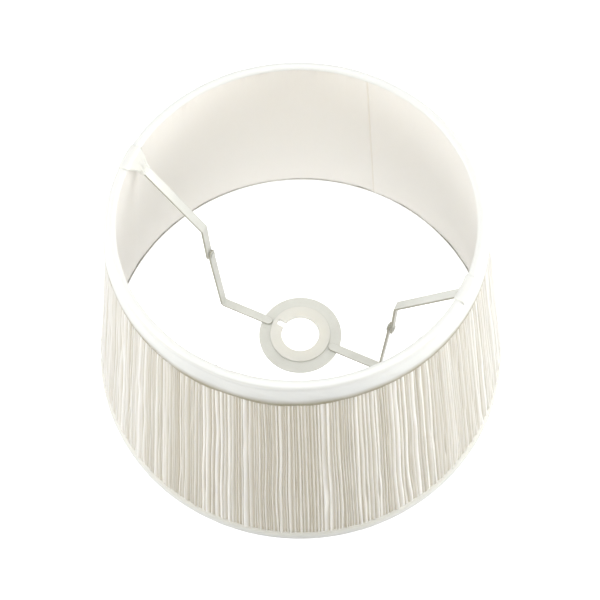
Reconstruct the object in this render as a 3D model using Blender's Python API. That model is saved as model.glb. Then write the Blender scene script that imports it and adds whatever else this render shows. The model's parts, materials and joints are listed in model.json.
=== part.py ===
"""A lined, pleated drum lamp shade with a reversible gimbal fitter, in metres and +Z up.

The origin is the centre of the circle that the shade stands on. The gimbal's two arms lie in the
XZ plane, and the gimbal swings about the X axis at PIVOT_HEIGHT.
"""

import math

import bmesh
import bpy
from mathutils import Matrix, Vector

# Driving dimensions of the shade
HEIGHT = 0.187
TOP_DIAMETER = 0.225
BOTTOM_DIAMETER = 0.305

# Wire frame
WIRE = 0.00125
GAP = 0.0003

# Fabric layers: distances outwards from the wires, given at the (top, bottom) ring
COVER_INSIDE = (0.00155, 0.00155)
COVER_HEM = (0.00235, 0.00345)
COVER_PLEATS = (0.0030, 0.0041)
LINING_OUTSIDE = (-0.00155, -0.0031)
LINING_INSIDE = (-0.00195, -0.0036)
TRIM_OUTSIDE = (0.0031, 0.0042)
TRIM_INSIDE = (-0.0027, -0.00435)
TRIM_THICKNESS = 0.00045
TRIM_CROWN = 0.0025
TRIM_CORNER = 0.0014
TOP_TRIM_OUTER_LEG = 0.0150
TOP_TRIM_INNER_LEG = 0.0030
BOTTOM_TRIM_OUTER_LEG = 0.0080
BOTTOM_TRIM_INNER_LEG = 0.0025
PLEAT_SHOULDER = 0.0040

# Gimbal fitter: flat steel strip, two riveted knuckles, one ring and one plastic reducer
STRIP_WIDTH = 0.0062
STRIP_THICKNESS = 0.0016
BEND_RADIUS = 0.0025
PIVOT_HEIGHT = 0.0825
EYE_RADIUS = 0.0033
EYE_EXTRA = 0.0001
EYE_OVERHANG = 0.0013
RIVET_RADIUS = 0.0015
RIVET_HEAD_RADIUS = 0.0026
RIVET_HEAD = 0.0005
OUTER_ARM_DROP_X = 0.0696
OUTER_ARM_ELBOW_HEIGHT = 0.1167
OUTER_ARM_ROOT_HEIGHT = 0.1673
GIMBAL_FOOT_X = 0.0650
GIMBAL_FOOT_HEIGHT = 0.0100
GIMBAL_STRAIGHT = 0.0060
GIMBAL_ARM_END = 0.0236
FITTER_RADIUS = 0.0312
FITTER_HOLE = 0.0210
FITTER_THICKNESS = 0.0015
REDUCER_FLANGE_RADIUS = 0.0228
REDUCER_HOLE = 0.01425
REDUCER_THICKNESS = 0.0034
REDUCER_FLANGE = 0.0014
REDUCER_SLOT_WIDTH = 0.0044
REDUCER_SLOT_REACH = 0.0202
REDUCER_SLOT_ANGLE = math.radians(173)

# Fabric patch sewn over each arm's root: its widths to the front (-Y) and back (+Y) of the arm's line
GUSSET_CROWN_FRONT = 0.0165
GUSSET_CROWN_BACK = 0.0020
GUSSET_FOOT_HALF = 0.0038
GUSSET_THICKNESS = 0.0006
GUSSET_REACH = 0.0030
GUSSET_STEPS = 4

SHADE_SEGMENTS = 48
FITTER_SEGMENTS = 48
WIRE_SEGMENTS = 8
ROUND_SEGMENTS = 24

RING_TOP = (TOP_DIAMETER / 2 - TRIM_OUTSIDE[0], HEIGHT - TRIM_CROWN)
RING_BOTTOM = (BOTTOM_DIAMETER / 2 - TRIM_OUTSIDE[1], TRIM_CROWN)
ROOT_X = RING_TOP[0] - WIRE - GAP - STRIP_THICKNESS / 2
GIMBAL_ARM_X = OUTER_ARM_DROP_X - STRIP_THICKNESS - 2 * EYE_EXTRA - GAP
FITTER_TOP = GIMBAL_FOOT_HEIGHT - STRIP_THICKNESS / 2 - GAP


def clear_scene():
    for obj in list(bpy.data.objects):
        bpy.data.objects.remove(obj)


def material(name, colour, roughness, metallic=0.0):
    made = bpy.data.materials.new(name)
    made.use_nodes = True
    shader = made.node_tree.nodes["Principled BSDF"]
    shader.inputs["Base Color"].default_value = (*colour, 1.0)
    shader.inputs["Roughness"].default_value = roughness
    shader.inputs["Metallic"].default_value = metallic
    return made


def add_object(name, bm, finish, smooth_angle=35):
    """One object from a bmesh, its normals pointing out and its round faces shaded smooth."""
    bmesh.ops.remove_doubles(bm, verts=bm.verts, dist=1e-7)
    mesh = bpy.data.meshes.new(name)
    bm.to_mesh(mesh)
    bm.free()
    mesh.shade_smooth()
    mesh.set_sharp_from_angle(angle=math.radians(smooth_angle))
    mesh.materials.append(finish)
    obj = bpy.data.objects.new(name, mesh)
    bpy.context.scene.collection.objects.link(obj)
    return obj


def add_helper(name, bm, finish):
    """A cutter: it shapes other objects and isn't a part itself."""
    helper = add_object(name, bm, finish)
    helper.hide_render = True
    helper.display_type = "WIRE"
    return helper


def boolean(obj, other, operation):
    modifier = obj.modifiers.new(f"{operation.lower()}_{other.name}", "BOOLEAN")
    modifier.operation = operation
    modifier.object = other
    modifier.solver = "EXACT"


def spin_loop(loop, segments):
    """A closed (radius, height) outline turned once about Z."""
    bm = bmesh.new()
    points = [bm.verts.new((radius, 0.0, height)) for radius, height in loop]
    edges = [bm.edges.new((a, b)) for a, b in zip(points, points[1:] + points[:1])]
    bmesh.ops.spin(
        bm,
        geom=points + edges,
        cent=(0, 0, 0),
        axis=(0, 0, 1),
        angle=2 * math.pi,
        steps=segments,
        use_merge=True,
    )
    bmesh.ops.recalc_face_normals(bm, faces=bm.faces)
    return bm


def circle_points(centre, radius, segments):
    turn = [2 * math.pi * (i + 0.5) / segments for i in range(segments)]
    return [(centre[0] + radius * math.cos(t), centre[1] + radius * math.sin(t)) for t in turn]


def arc_points(radius, start, end, steps):
    """Points on an arc about the origin, with its angles in degrees."""
    turn = [math.radians(start + (end - start) * i / steps) for i in range(steps + 1)]
    return [(radius * math.cos(t), radius * math.sin(t)) for t in turn]


def wall_point(offsets, height):
    """A point of a fabric layer at a height, from its distances outwards at the two rings."""
    share = (height - RING_BOTTOM[1]) / (RING_TOP[1] - RING_BOTTOM[1])
    top, bottom = RING_TOP[0] + offsets[0], RING_BOTTOM[0] + offsets[1]
    return bottom + (top - bottom) * share, height


def prism(outline, half_width):
    """A closed (x, z) outline pushed out along Y by half_width each way."""
    bm = bmesh.new()
    face = bm.faces.new([bm.verts.new((x, -half_width, z)) for x, z in outline])
    pushed = bmesh.ops.extrude_face_region(bm, geom=[face])["geom"]
    moved = [v for v in pushed if isinstance(v, bmesh.types.BMVert)]
    bmesh.ops.translate(bm, verts=moved, vec=(0, 2 * half_width, 0))
    bmesh.ops.recalc_face_normals(bm, faces=bm.faces)
    return bm


def loft(slices):
    """Closed outlines with the same number of points, joined in order into one capped solid."""
    bm = bmesh.new()
    rows = [[bm.verts.new(point) for point in outline] for outline in slices]
    for near, far in zip(rows, rows[1:]):
        for i in range(len(near)):
            bm.faces.new((near[i - 1], near[i], far[i], far[i - 1]))
    bm.faces.new(rows[0])
    bm.faces.new(rows[-1][::-1])
    bmesh.ops.recalc_face_normals(bm, faces=bm.faces)
    return bm


def cylinder_x(radius, start, end, height):
    """A cylinder along X between two x values, its axis at a height."""
    bm = bmesh.new()
    bmesh.ops.create_cone(
        bm,
        cap_ends=True,
        segments=ROUND_SEGMENTS,
        radius1=radius,
        radius2=radius,
        depth=abs(end - start),
        matrix=Matrix.Translation(((start + end) / 2, 0, height)) @ Matrix.Rotation(math.pi / 2, 4, "Y"),
    )
    return bm


def box(low, high):
    bm = bmesh.new()
    bmesh.ops.create_cube(bm, size=1.0)
    size = Vector(high) - Vector(low)
    bmesh.ops.scale(bm, verts=bm.verts, vec=size)
    bmesh.ops.translate(bm, verts=bm.verts, vec=(Vector(high) + Vector(low)) / 2)
    return bm


def bent_strip(path, thickness):
    """The outline of a strip seen from its edge, along an (x, z) path with rounded bends."""
    left, right = [], []
    count = len(path)
    for i, point in enumerate(path):
        here = Vector(point)
        before = (here - Vector(path[i - 1])).normalized() if i else None
        after = (Vector(path[i + 1]) - here).normalized() if i < count - 1 else None
        if before is None or after is None:
            side = Vector((-(before or after).y, (before or after).x)) * thickness / 2
            left.append(here + side)
            right.append(here - side)
            continue
        turn = before.angle_signed(after)
        reach = BEND_RADIUS * math.tan(abs(turn) / 2)
        steps = max(2, round(abs(math.degrees(turn)) / 15))
        inward = Vector((-before.y, before.x)) * (1 if turn < 0 else -1)
        centre = here - before * reach + inward * BEND_RADIUS
        for step in range(steps + 1):
            spoke = -inward.copy()
            spoke.rotate(Matrix.Rotation(-turn * step / steps, 2))
            near = centre + spoke * (BEND_RADIUS - thickness / 2)
            far = centre + spoke * (BEND_RADIUS + thickness / 2)
            left.append(near if turn < 0 else far)
            right.append(far if turn < 0 else near)
    return [tuple(p) for p in left + right[::-1]]


def make_ring(name, centre, finish):
    add_object(name, spin_loop(circle_points(centre, WIRE, WIRE_SEGMENTS), SHADE_SEGMENTS), finish)


def rod_between(radius, low, high):
    """A round rod between two (radius, height) points in the XZ plane."""
    start, end = Vector((low[0], 0, low[1])), Vector((high[0], 0, high[1]))
    along = end - start
    place = Matrix.Translation((start + end) / 2) @ along.to_track_quat("Z", "Y").to_matrix().to_4x4()
    bm = bmesh.new()
    bmesh.ops.create_cone(
        bm,
        cap_ends=True,
        segments=WIRE_SEGMENTS,
        radius1=radius,
        radius2=radius,
        depth=along.length,
        matrix=place,
    )
    return bm


def make_struts(finish):
    """Four straight wires between the two rings, each stopping just short of them."""
    low, high = Vector(RING_BOTTOM), Vector(RING_TOP)
    along = (high - low).normalized() * (WIRE + GAP)
    for name, angle in (("right", 0), ("back", 90), ("left", 180), ("front", 270)):
        strut = add_object(f"strut_{name}", rod_between(WIRE, low + along, high - along), finish)
        strut.rotation_euler = (0, 0, math.radians(angle))


def make_arm_cutters(finish):
    """The slot that each arm's root takes through the lining and the top trim."""
    half = STRIP_WIDTH / 2 + GAP
    low = (ROOT_X - 0.004, -half, OUTER_ARM_ROOT_HEIGHT + 0.0110)
    high = (RING_TOP[0] + 0.0015, half, RING_TOP[1] + 0.0008)
    cutters = []
    for name, angle in (("right", 0), ("left", 180)):
        cutter = add_helper(f"arm_slot_{name}", box(low, high), finish)
        cutter.rotation_euler = (0, 0, math.radians(angle))
        cutters.append(cutter)
    return cutters


def trim_side(ring, up, outer, inner, skin, legs):
    """One side of a trim's fold, from its outer leg over the crown to its inner leg."""
    radius, height = ring
    size = TRIM_CORNER - skin
    crest = height + up * (TRIM_CROWN - TRIM_CORNER)
    rim = height + up * TRIM_CROWN
    outer_r, inner_r = radius + outer, radius + inner
    shoulder = [(outer_r - size + x, crest + up * z) for x, z in arc_points(size, 0, 90, 2)]
    shoulder += [(inner_r + size + x, crest + up * z) for x, z in arc_points(size, 90, 180, 2)]
    lean = (RING_BOTTOM[0] - RING_TOP[0]) / (RING_TOP[1] - RING_BOTTOM[1])
    ends = []
    for base, leg in zip((outer_r, inner_r), legs):
        ends.append((base + up * (leg - TRIM_CROWN) * lean, rim - up * leg))
    return [ends[0]] + shoulder + [ends[1]]


def make_trim(name, ring, up, outer, inner, legs, finish):
    """A fabric band folded over a ring: up is 1 for the top rim and -1 for the bottom one."""
    outside = trim_side(ring, up, outer, inner, 0, legs)
    inside = trim_side(ring, up, outer - TRIM_THICKNESS, inner + TRIM_THICKNESS, TRIM_THICKNESS, legs)
    return add_object(name, spin_loop(outside + inside[::-1], SHADE_SEGMENTS), finish)


def make_trims(arm_cutters, finish):
    top_legs = (TOP_TRIM_OUTER_LEG, TOP_TRIM_INNER_LEG)
    bottom_legs = (BOTTOM_TRIM_OUTER_LEG, BOTTOM_TRIM_INNER_LEG)
    top = make_trim("top_trim", RING_TOP, 1, TRIM_OUTSIDE[0], TRIM_INSIDE[0], top_legs, finish)
    make_trim("bottom_trim", RING_BOTTOM, -1, TRIM_OUTSIDE[1], TRIM_INSIDE[1], bottom_legs, finish)
    for cutter in arm_cutters:
        boolean(top, cutter, "DIFFERENCE")


def make_lining(arm_cutters, finish):
    low, high = RING_BOTTOM[1] - 0.0005, RING_TOP[1] + 0.0005
    outline = [
        wall_point(LINING_INSIDE, low),
        wall_point(LINING_OUTSIDE, low),
        wall_point(LINING_OUTSIDE, high),
        wall_point(LINING_INSIDE, high),
    ]
    lining = add_object("lining", spin_loop(outline, SHADE_SEGMENTS), finish)
    for cutter in arm_cutters:
        boolean(lining, cutter, "DIFFERENCE")


def make_cover(finish):
    """The pleated cover as one plain wall, thinner where the trims cover its two hems."""
    low, high = RING_BOTTOM[1] - 0.0005, RING_TOP[1] + 0.0005
    low_grip, high_grip = BOTTOM_TRIM_OUTER_LEG + GAP, HEIGHT - TOP_TRIM_OUTER_LEG - GAP
    outline = [
        wall_point(COVER_INSIDE, low),
        wall_point(COVER_HEM, low),
        wall_point(COVER_HEM, low_grip),
        wall_point(COVER_PLEATS, low_grip + PLEAT_SHOULDER),
        wall_point(COVER_PLEATS, high_grip - PLEAT_SHOULDER),
        wall_point(COVER_HEM, high_grip),
        wall_point(COVER_HEM, high),
        wall_point(COVER_INSIDE, high),
    ]
    add_object("pleated_cover", spin_loop(outline, SHADE_SEGMENTS), finish)


def gusset_slices(outline, bend_height, crown_height, side):
    """The patch's outline at steps across its width, which grows from the bend up to the crown."""
    slices = []
    for step in range(GUSSET_STEPS + 1):
        points = []
        for x, z in outline:
            rise = min(max((z - bend_height) / (crown_height - bend_height), 0), 1)
            front = -GUSSET_FOOT_HALF + (GUSSET_FOOT_HALF - GUSSET_CROWN_FRONT) * rise
            back = GUSSET_FOOT_HALF + (GUSSET_CROWN_BACK - GUSSET_FOOT_HALF) * rise
            y = front + (back - front) * step / GUSSET_STEPS
            points.append((x - y**2 / (2 * ROOT_X), y * side, z))
        slices.append(points)
    return slices


def make_gussets(finish):
    """A patch over each arm's root: from the rim's crown it narrows to the bend and grips the arm."""
    root = Vector((ROOT_X, OUTER_ARM_ROOT_HEIGHT))
    down = (Vector((OUTER_ARM_DROP_X, OUTER_ARM_ELBOW_HEIGHT)) - root).normalized()
    clear = STRIP_THICKNESS / 2 + GAP + GUSSET_THICKNESS / 2
    turn = Vector((0, -1)).angle(down)
    bend = root + Vector((-clear, clear * math.tan(turn / 2)))
    crown = HEIGHT + GAP + GUSSET_THICKNESS / 2
    path = [(TOP_DIAMETER / 2 - GAP, crown), (bend.x, crown), tuple(bend), tuple(bend + down * GUSSET_REACH)]
    outline = bent_strip(path, GUSSET_THICKNESS)
    for name, angle, side in (("right", 0, 1), ("left", 180, -1)):
        slices = gusset_slices(outline, bend.y, crown, side)
        gusset = add_object(f"arm_gusset_{name}", loft(slices), finish)
        gusset.rotation_euler = (0, 0, math.radians(angle))


def add_arm(name, path, angle, finish):
    """A bent strip whose tab ends round past its rivet hole, built on +X and turned to its side."""
    arm = add_object(name, prism(bent_strip(path, STRIP_THICKNESS), STRIP_WIDTH / 2), finish)
    tab_x, tab_height = path[-1]
    half = STRIP_THICKNESS / 2 + EYE_EXTRA
    eye = add_helper(name + "_eye", cylinder_x(EYE_RADIUS, tab_x - half, tab_x + half, tab_height), finish)
    bore = RIVET_RADIUS + GAP
    hole = add_helper(name + "_hole", cylinder_x(bore, tab_x - 0.003, tab_x + 0.003, PIVOT_HEIGHT), finish)
    boolean(arm, eye, "UNION")
    boolean(arm, hole, "DIFFERENCE")
    for obj in (arm, eye, hole):
        obj.rotation_euler = (0, 0, math.radians(angle))


def make_outer_arms(finish):
    path = [
        (ROOT_X, RING_TOP[1] + 0.0005),
        (ROOT_X, OUTER_ARM_ROOT_HEIGHT),
        (OUTER_ARM_DROP_X, OUTER_ARM_ELBOW_HEIGHT),
        (OUTER_ARM_DROP_X, PIVOT_HEIGHT - EYE_OVERHANG),
    ]
    add_arm("outer_arm_right", path, 0, finish)
    add_arm("outer_arm_left", path, 180, finish)


def make_gimbal_arms(finish):
    path = [
        (GIMBAL_ARM_END, GIMBAL_FOOT_HEIGHT),
        (GIMBAL_FOOT_X, GIMBAL_FOOT_HEIGHT),
        (GIMBAL_ARM_X, PIVOT_HEIGHT - GIMBAL_STRAIGHT),
        (GIMBAL_ARM_X, PIVOT_HEIGHT + EYE_OVERHANG),
    ]
    add_arm("gimbal_arm_right", path, 0, finish)
    add_arm("gimbal_arm_left", path, 180, finish)


def make_rivets(finish):
    """A shank with a flat head at each end, turned about the pivot axis."""
    eye_half = STRIP_THICKNESS / 2 + EYE_EXTRA
    inner_face = GIMBAL_ARM_X - eye_half - GAP
    outer_face = OUTER_ARM_DROP_X + eye_half + GAP
    chamfer = RIVET_HEAD / 2
    profile = [
        (RIVET_HEAD_RADIUS - chamfer, inner_face - RIVET_HEAD),
        (RIVET_HEAD_RADIUS, inner_face - RIVET_HEAD + chamfer),
        (RIVET_HEAD_RADIUS, inner_face),
        (RIVET_RADIUS, inner_face),
        (RIVET_RADIUS, outer_face),
        (RIVET_HEAD_RADIUS, outer_face),
        (RIVET_HEAD_RADIUS, outer_face + RIVET_HEAD - chamfer),
        (RIVET_HEAD_RADIUS - chamfer, outer_face + RIVET_HEAD),
    ]
    turns = [2 * math.pi * i / ROUND_SEGMENTS for i in range(ROUND_SEGMENTS)]
    slices = []
    for radius, along in profile:
        slices.append([(along, radius * math.cos(t), PIVOT_HEIGHT + radius * math.sin(t)) for t in turns])
    for name, angle in (("right", 0), ("left", 180)):
        rivet = add_object(f"rivet_{name}", loft(slices), finish)
        rivet.rotation_euler = (0, 0, math.radians(angle))


def make_fitter_ring(finish):
    edge = 0.0002
    low, high = FITTER_TOP - FITTER_THICKNESS, FITTER_TOP
    outline = [
        (FITTER_HOLE, low),
        (FITTER_RADIUS - edge, low),
        (FITTER_RADIUS, low + edge),
        (FITTER_RADIUS, high - edge),
        (FITTER_RADIUS - edge, high),
        (FITTER_HOLE, high),
    ]
    add_object("fitter_ring", spin_loop(outline, FITTER_SEGMENTS), finish)


def make_reducer(finish):
    """A flanged plastic bush in the fitter ring's hole, slotted on one side so that it can spring."""
    top = FITTER_TOP + GAP + REDUCER_FLANGE
    low = top - REDUCER_THICKNESS
    chamfer = 0.0004
    outline = [
        (REDUCER_HOLE, low),
        (FITTER_HOLE - GAP - chamfer, low),
        (FITTER_HOLE - GAP, low + chamfer),
        (FITTER_HOLE - GAP, FITTER_TOP + GAP),
        (REDUCER_FLANGE_RADIUS, FITTER_TOP + GAP),
        (REDUCER_FLANGE_RADIUS, top - chamfer),
        (REDUCER_FLANGE_RADIUS - chamfer, top),
        (REDUCER_HOLE, top),
    ]
    reducer = add_object("reducer_ring", spin_loop(outline, FITTER_SEGMENTS), finish)
    half = REDUCER_SLOT_WIDTH / 2
    cut = box((0.01, -half, low - 0.002), (REDUCER_SLOT_REACH, half, top + 0.002))
    slot = add_helper("reducer_slot", cut, finish)
    slot.rotation_euler = (0, 0, REDUCER_SLOT_ANGLE)
    boolean(reducer, slot, "DIFFERENCE")


def main():
    clear_scene()
    silk = material("pleated_silk", (0.86, 0.83, 0.76), 0.45)
    satin = material("lining_satin", (0.90, 0.87, 0.81), 0.55)
    binding = material("trim_silk", (0.89, 0.88, 0.84), 0.50)
    patch = material("gusset_silk", (0.89, 0.88, 0.84), 0.50)
    wire = material("coated_wire", (0.80, 0.80, 0.79), 0.45)
    enamel = material("white_enamel", (0.84, 0.84, 0.80), 0.35)
    plastic = material("reducer_plastic", (0.88, 0.88, 0.84), 0.40)

    make_ring("top_ring", RING_TOP, wire)
    make_ring("bottom_ring", RING_BOTTOM, wire)
    make_struts(wire)
    arm_cutters = make_arm_cutters(wire)
    make_cover(silk)
    make_lining(arm_cutters, satin)
    make_trims(arm_cutters, binding)
    make_gussets(patch)
    make_outer_arms(enamel)
    make_gimbal_arms(enamel)
    make_rivets(enamel)
    make_fitter_ring(enamel)
    make_reducer(plastic)


main()
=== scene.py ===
"""Looks of a lined, finely pleated drum shade on its gimbal fitter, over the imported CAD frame."""

import json
import math

import bmesh
import bpy
import numpy as np
from mathutils import Matrix, Vector


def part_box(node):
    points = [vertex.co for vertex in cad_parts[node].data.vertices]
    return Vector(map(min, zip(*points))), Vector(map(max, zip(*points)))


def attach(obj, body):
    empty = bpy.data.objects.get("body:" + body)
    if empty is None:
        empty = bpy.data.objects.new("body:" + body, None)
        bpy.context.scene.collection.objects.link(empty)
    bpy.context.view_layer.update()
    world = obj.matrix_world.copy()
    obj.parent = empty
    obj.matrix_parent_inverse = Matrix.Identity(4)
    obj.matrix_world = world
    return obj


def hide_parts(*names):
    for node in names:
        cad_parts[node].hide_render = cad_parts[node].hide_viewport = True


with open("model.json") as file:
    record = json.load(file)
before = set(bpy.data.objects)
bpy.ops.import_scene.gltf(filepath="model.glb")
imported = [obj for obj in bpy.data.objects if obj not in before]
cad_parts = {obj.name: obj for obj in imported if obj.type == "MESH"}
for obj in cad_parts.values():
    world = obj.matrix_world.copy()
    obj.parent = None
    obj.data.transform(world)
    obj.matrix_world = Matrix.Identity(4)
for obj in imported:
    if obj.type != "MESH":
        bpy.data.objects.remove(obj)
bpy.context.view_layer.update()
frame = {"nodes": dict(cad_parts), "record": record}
record = frame["record"]

MM = 0.001
TAU = 2 * math.pi


# ---------------------------------------------------------------- places, all from the CAD frame

def box_of(node):
    """The low and high corners of a CAD node."""
    low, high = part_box(node)
    return Vector(low), Vector(high)


def ring_of(node):
    """(radius, height) of a wire ring's centre line."""
    low, high = box_of(node)
    wire = (high.z - low.z) / 2
    return high.x - wire, (high.z + low.z) / 2


TOP_R, TOP_Z = ring_of("top_ring")
BOTTOM_R, BOTTOM_Z = ring_of("bottom_ring")
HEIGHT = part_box("top_trim")[1][2]
SWING = next(j for j in record["behaviour"]["joints"] if j["name"] == "gimbal_swing")
PIVOT_Z = float(SWING["pos_m"][2])
FITTER_LOW, FITTER_HIGH = box_of("fitter_ring")
REDUCER_LOW, REDUCER_HIGH = box_of("reducer_ring")
OUTER_LOW, OUTER_HIGH = box_of("outer_arm_right")
GIMBAL_LOW, GIMBAL_HIGH = box_of("gimbal_arm_right")
RIVET_LOW, RIVET_HIGH = box_of("rivet_right")
TOP_TRIM_LOW, TOP_TRIM_HIGH = box_of("top_trim")
_, BOTTOM_TRIM_HIGH = box_of("bottom_trim")


def wall_radius(z, top_offset, bottom_offset):
    """Radius of a fabric layer at a height, from its distances outside the two rings."""
    share = (z - BOTTOM_Z) / (TOP_Z - BOTTOM_Z)
    return (BOTTOM_R + bottom_offset) * (1 - share) + (TOP_R + top_offset) * share


# ---------------------------------------------------------------- meshes

def link(name, mesh):
    """Puts a mesh into the scene as a named object."""
    obj = bpy.data.objects.new(name, mesh)
    bpy.context.scene.collection.objects.link(obj)
    return obj


def grid_object(name, points, uv, wrap_u=True, wrap_v=False, flip=False):
    """A quad grid: points is (rows, columns, 3). It closes round its columns, and its rows if asked."""
    rows, cols = points.shape[:2]
    index = np.arange(rows * cols).reshape(rows, cols)
    right = np.roll(index, -1, axis=1)
    up = np.roll(index, -1, axis=0)
    both = np.roll(right, -1, axis=0)
    quads = np.stack([index, right, both, up], axis=-1)
    uv_right = np.roll(uv, -1, axis=1)
    if wrap_u:
        uv_right[:, -1, 0] = uv[:, -1, 0] + (uv[:, -1, 0] - uv[:, -2, 0])
    else:
        quads = quads[:, :-1]
    if not wrap_v:
        quads = quads[:-1]
    uv_up = np.roll(uv, -1, axis=0)
    uv_both = np.roll(uv_right, -1, axis=0)
    if wrap_v:
        uv_up[-1, :, 1] = uv[-1, :, 1] + (uv[-1, :, 1] - uv[-2, :, 1])
        uv_both[-1, :, 1] = uv_up[-1, :, 1]
    corner_uv = np.stack([uv, uv_right, uv_both, uv_up], axis=2)
    corner_uv = corner_uv[: quads.shape[0], : quads.shape[1]]
    quads = quads.reshape(-1, 4)
    corner_uv = corner_uv.reshape(-1, 4, 2)
    if flip:
        quads = quads[:, ::-1]
        corner_uv = corner_uv[:, ::-1]
    mesh = bpy.data.meshes.new(name)
    mesh.vertices.add(rows * cols)
    mesh.vertices.foreach_set("co", points.reshape(-1).astype(np.float32))
    mesh.loops.add(quads.size)
    mesh.loops.foreach_set("vertex_index", quads.reshape(-1).astype(np.int32))
    mesh.polygons.add(len(quads))
    mesh.polygons.foreach_set("loop_start", np.arange(0, quads.size, 4, dtype=np.int32))
    mesh.update(calc_edges=True)
    layer = mesh.uv_layers.new(name="cloth")
    layer.uv.foreach_set("vector", corner_uv.reshape(-1).astype(np.float32))
    mesh.validate()
    mesh.shade_smooth()
    return link(name, mesh)


def paint(obj, name, values):
    """A 0 to 1 value on each vertex, for the material to read."""
    layer = obj.data.attributes.new(name, "FLOAT", "POINT")
    layer.data.foreach_set("value", values.reshape(-1).astype(np.float32))


def smooth_round(values, passes):
    """Blurs values round a closed row."""
    for _ in range(passes):
        values = (np.roll(values, 1, axis=0) + 2 * values + np.roll(values, -1, axis=0)) / 4
    return values


def spread(knots, places):
    """Reads rows of knots, evenly spaced from 0 to 1, at places, with a smooth step between them."""
    count = knots.shape[1] - 1
    at = np.clip(places, 0, 1) * count
    cell = np.minimum(at.astype(int), count - 1)
    t = at - cell
    t = t * t * (3 - 2 * t)
    return knots[:, cell] * (1 - t) + knots[:, cell + 1] * t


def round_noise(rng, knots, angles, blur=1):
    """Smooth noise round a circle, about -1 to 1, read at angles."""
    values = smooth_round(rng.standard_normal(knots), blur)
    values = values / np.abs(values).max()
    at = (angles % TAU) / TAU * knots
    cell = np.floor(at).astype(int) % knots
    t = at - np.floor(at)
    t = t * t * (3 - 2 * t)
    return values[cell] * (1 - t) + values[(cell + 1) % knots] * t


def face_outward(obj):
    """Turns every face of a mesh the right way out."""
    bm = bmesh.new()
    bm.from_mesh(obj.data)
    bmesh.ops.recalc_face_normals(bm, faces=bm.faces)
    bm.to_mesh(obj.data)
    bm.free()


def round_points(radius, angle, height):
    """(x, y, z) from cylindrical coordinates."""
    return np.stack([radius * np.cos(angle), radius * np.sin(angle), height + 0 * angle], axis=-1)


def finish_piece(obj, body, replaces=(), material=None):
    """Gives a piece its material, the body it rides on, and the CAD nodes it stands for."""
    if material is not None:
        obj.data.materials.clear()
        obj.data.materials.append(material)
    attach(obj, body)
    if replaces:
        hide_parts(*replaces)


# ---------------------------------------------------------------- camera

# Fitted to the rims, the ring and the strips in the photo: metres, degrees and a lens in millimetres
CAMERA_PLACE = (0.13133, -0.26352, 0.66324)
CAMERA_FORWARD = (-0.19683, 0.39695, -0.89649)
CAMERA_LEVEL = (0.89591, 0.44424, 0.0)
CAMERA_ROLL = -1.775
CAMERA_LENS = 56.72


def make_camera():
    """Looks down on the shade from the front right, turned slightly about its own axis."""
    forward = Vector(CAMERA_FORWARD).normalized()
    right = Vector(CAMERA_LEVEL).normalized()
    up = right.cross(forward).normalized()
    roll = math.radians(CAMERA_ROLL)
    side = right * math.cos(roll) + up * math.sin(roll)
    top = up * math.cos(roll) - right * math.sin(roll)
    data = bpy.data.cameras.new("camera")
    data.lens = CAMERA_LENS
    data.sensor_width = 36.0
    data.clip_start = 0.01
    data.clip_end = 50.0
    camera = bpy.data.objects.new("camera", data)
    turn = Matrix((side, top, -forward)).transposed().to_4x4()
    camera.matrix_world = Matrix.Translation(CAMERA_PLACE) @ turn
    bpy.context.scene.collection.objects.link(camera)
    bpy.context.scene.camera = camera


make_camera()


# ---------------------------------------------------------------- materials

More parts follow.
